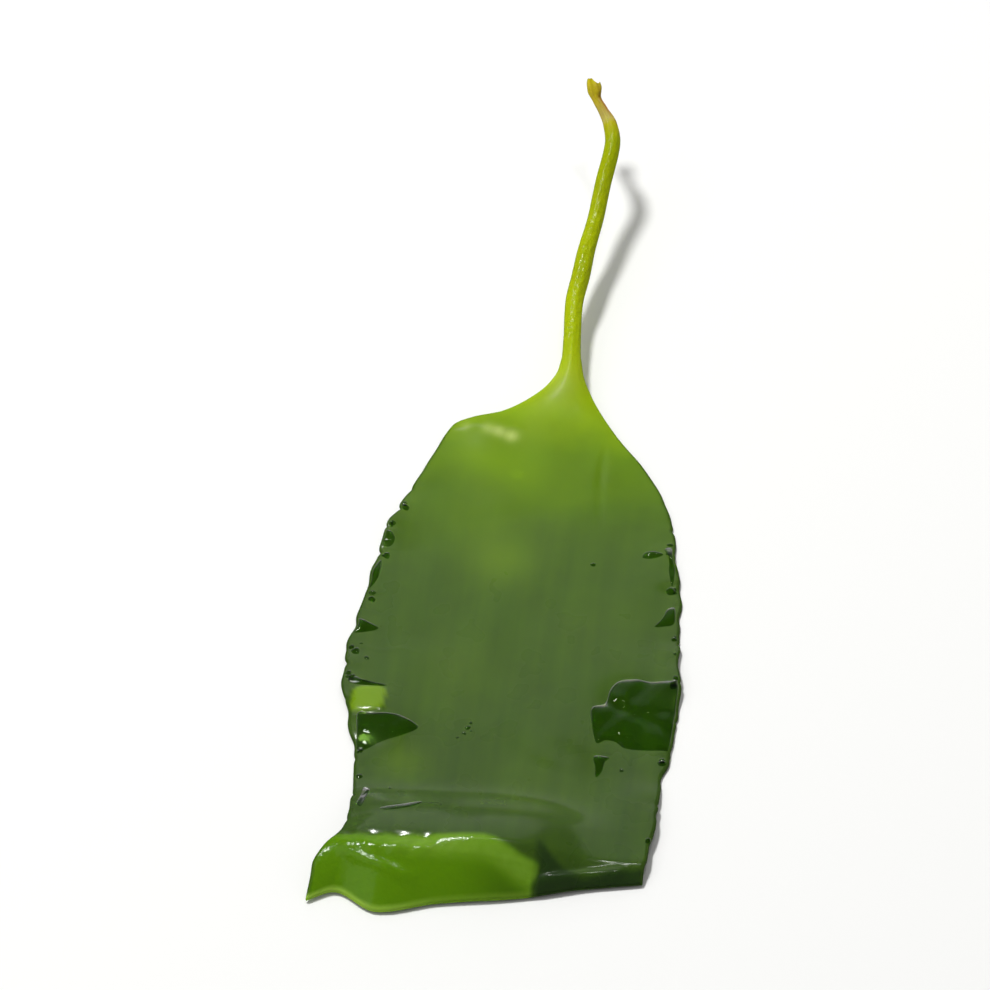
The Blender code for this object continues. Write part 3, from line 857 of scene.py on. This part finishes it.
FLOOR_HALF = 30.0
floor_mesh = bpy.data.meshes.new("studio_floor")
floor_mesh.from_pydata(
    [(-FLOOR_HALF, -FLOOR_HALF, 0), (FLOOR_HALF, -FLOOR_HALF, 0),
     (FLOOR_HALF, FLOOR_HALF, 0), (-FLOOR_HALF, FLOOR_HALF, 0)],
    [], [(0, 1, 2, 3)],
)
studio_floor = bpy.data.objects.new("studio_floor", floor_mesh)
studio_floor.location.z = -0.05 * MM
bpy.context.scene.collection.objects.link(studio_floor)

# Matt paper has no shine of its own. Far from the plant it glows white, so that no horizon shows,
# and the wet skin mirrors it as a dim grey green, so that its shine comes from the lamps alone.
white_paper = bpy.data.materials.new("white paper, matt")
white_paper.use_nodes = True
paper_surface = white_paper.node_tree.nodes["Principled BSDF"]
paper_surface.inputs["Base Color"].default_value = linear("#f6f6f4")
paper_surface.inputs["Roughness"].default_value = 0.9
paper_surface.inputs["Specular IOR Level"].default_value = 0.0
paper = white_paper.node_tree
from_middle = node(
    paper, "ShaderNodeVectorMath", {"operation": "LENGTH"},
    _0=node(paper, "ShaderNodeTexCoord").outputs["Object"],
)
far_away = node(
    paper, "ShaderNodeMapRange", {"interpolation_type": "SMOOTHSTEP"},
    Value=from_middle.outputs["Value"], From_Min=0.25, From_Max=1.0,
)
dimmed = node(paper, "ShaderNodeEmission", Color=linear("#5f6a50"), Strength=1.0)
glow = node(paper, "ShaderNodeEmission", Color=(1.0, 1.0, 1.0, 1.0), Strength=1.0)
paper_mix = node(
    paper, "ShaderNodeMixShader",
    Fac=far_away.outputs[0], _1=paper_surface.outputs[0], _2=glow.outputs[0],
)
as_mirrored = node(
    paper, "ShaderNodeMixShader",
    Fac=node(paper, "ShaderNodeLightPath").outputs["Is Glossy Ray"],
    _1=paper_mix.outputs[0], _2=dimmed.outputs[0],
)
paper.links.new(as_mirrored.outputs[0], paper.nodes["Material Output"].inputs["Surface"])
floor_mesh.materials.append(white_paper)


def soft_panel(name, azimuth, elevation, distance, size, brightness):
    """Hang a round lamp that faces the middle of the table. Brightness is its own, as seen."""
    a, e = math.radians(azimuth), math.radians(elevation)
    lamp = bpy.data.lights.new(name, "AREA")
    lamp.shape = "DISK"
    lamp.size = size
    lamp.energy = brightness * math.pi * math.pi / 4.0 * size * size
    hung = bpy.data.objects.new(name, lamp)
    hung.location = (
        distance * math.sin(a) * math.cos(e),
        -distance * math.cos(a) * math.cos(e),
        distance * math.sin(e),
    )
    hung.rotation_euler = (math.pi / 2.0 - e, 0.0, a)
    bpy.context.scene.collection.objects.link(hung)


soft_panel("key_lamp", azimuth=238.0, elevation=68.0, distance=1.6, size=0.28, brightness=97.0)
soft_panel("veil_panel", azimuth=186.0, elevation=36.0, distance=1.6, size=1.35, brightness=0.64)
soft_panel("fill_panel", azimuth=296.0, elevation=50.0, distance=1.5, size=1.0, brightness=0.95)
soft_panel("glint_lamp", azimuth=153.0, elevation=76.0, distance=1.6, size=0.11, brightness=62.0)

# The air is white behind the table and lights it a dim grey
world = bpy.data.worlds.new("studio")
bpy.context.scene.world = world
world.use_nodes = True
air = world.node_tree
background = air.nodes["Background"]
background.inputs["Color"].default_value = (0.22, 0.22, 0.22, 1.0)
backdrop = node(air, "ShaderNodeBackground", Color=(1.0, 1.0, 1.0, 1.0), Strength=1.0)
ray = node(air, "ShaderNodeLightPath")
choice = node(
    air, "ShaderNodeMixShader",
    Fac=ray.outputs["Is Camera Ray"], _1=background.outputs[0], _2=backdrop.outputs[0],
)
air.links.new(choice.outputs[0], air.nodes["World Output"].inputs["Surface"])
bpy.context.scene.view_settings.view_transform = "Standard"


# The camera stands a metre from the blade, above it by the slant of the photograph, and is turned
# a little from there to have the whole plant in the middle of the frame

VIEW_AZIMUTH = math.radians(6.3)
VIEW_ELEVATION = math.radians(49.0)
VIEW_DISTANCE = 1.0
STANDS_OVER = Vector((0.0, -0.02, 0.0))
LOOKS_AT = Vector((-0.008, 0.0035, 0.0))
FRAME_WIDTH = 0.175
SENSOR = 36.0

lens = bpy.data.cameras.new("camera")
lens.sensor_width = SENSOR
lens.lens = SENSOR * VIEW_DISTANCE / FRAME_WIDTH
camera = bpy.data.objects.new("camera", lens)
off_centre = math.cos(VIEW_ELEVATION)
camera.location = STANDS_OVER + VIEW_DISTANCE * Vector((
    math.sin(VIEW_AZIMUTH) * off_centre,
    -math.cos(VIEW_AZIMUTH) * off_centre,
    math.sin(VIEW_ELEVATION),
))
camera.rotation_euler = (LOOKS_AT - camera.location).to_track_quat("-Z", "Y").to_euler()
bpy.context.scene.collection.objects.link(camera)
bpy.context.scene.camera = camera
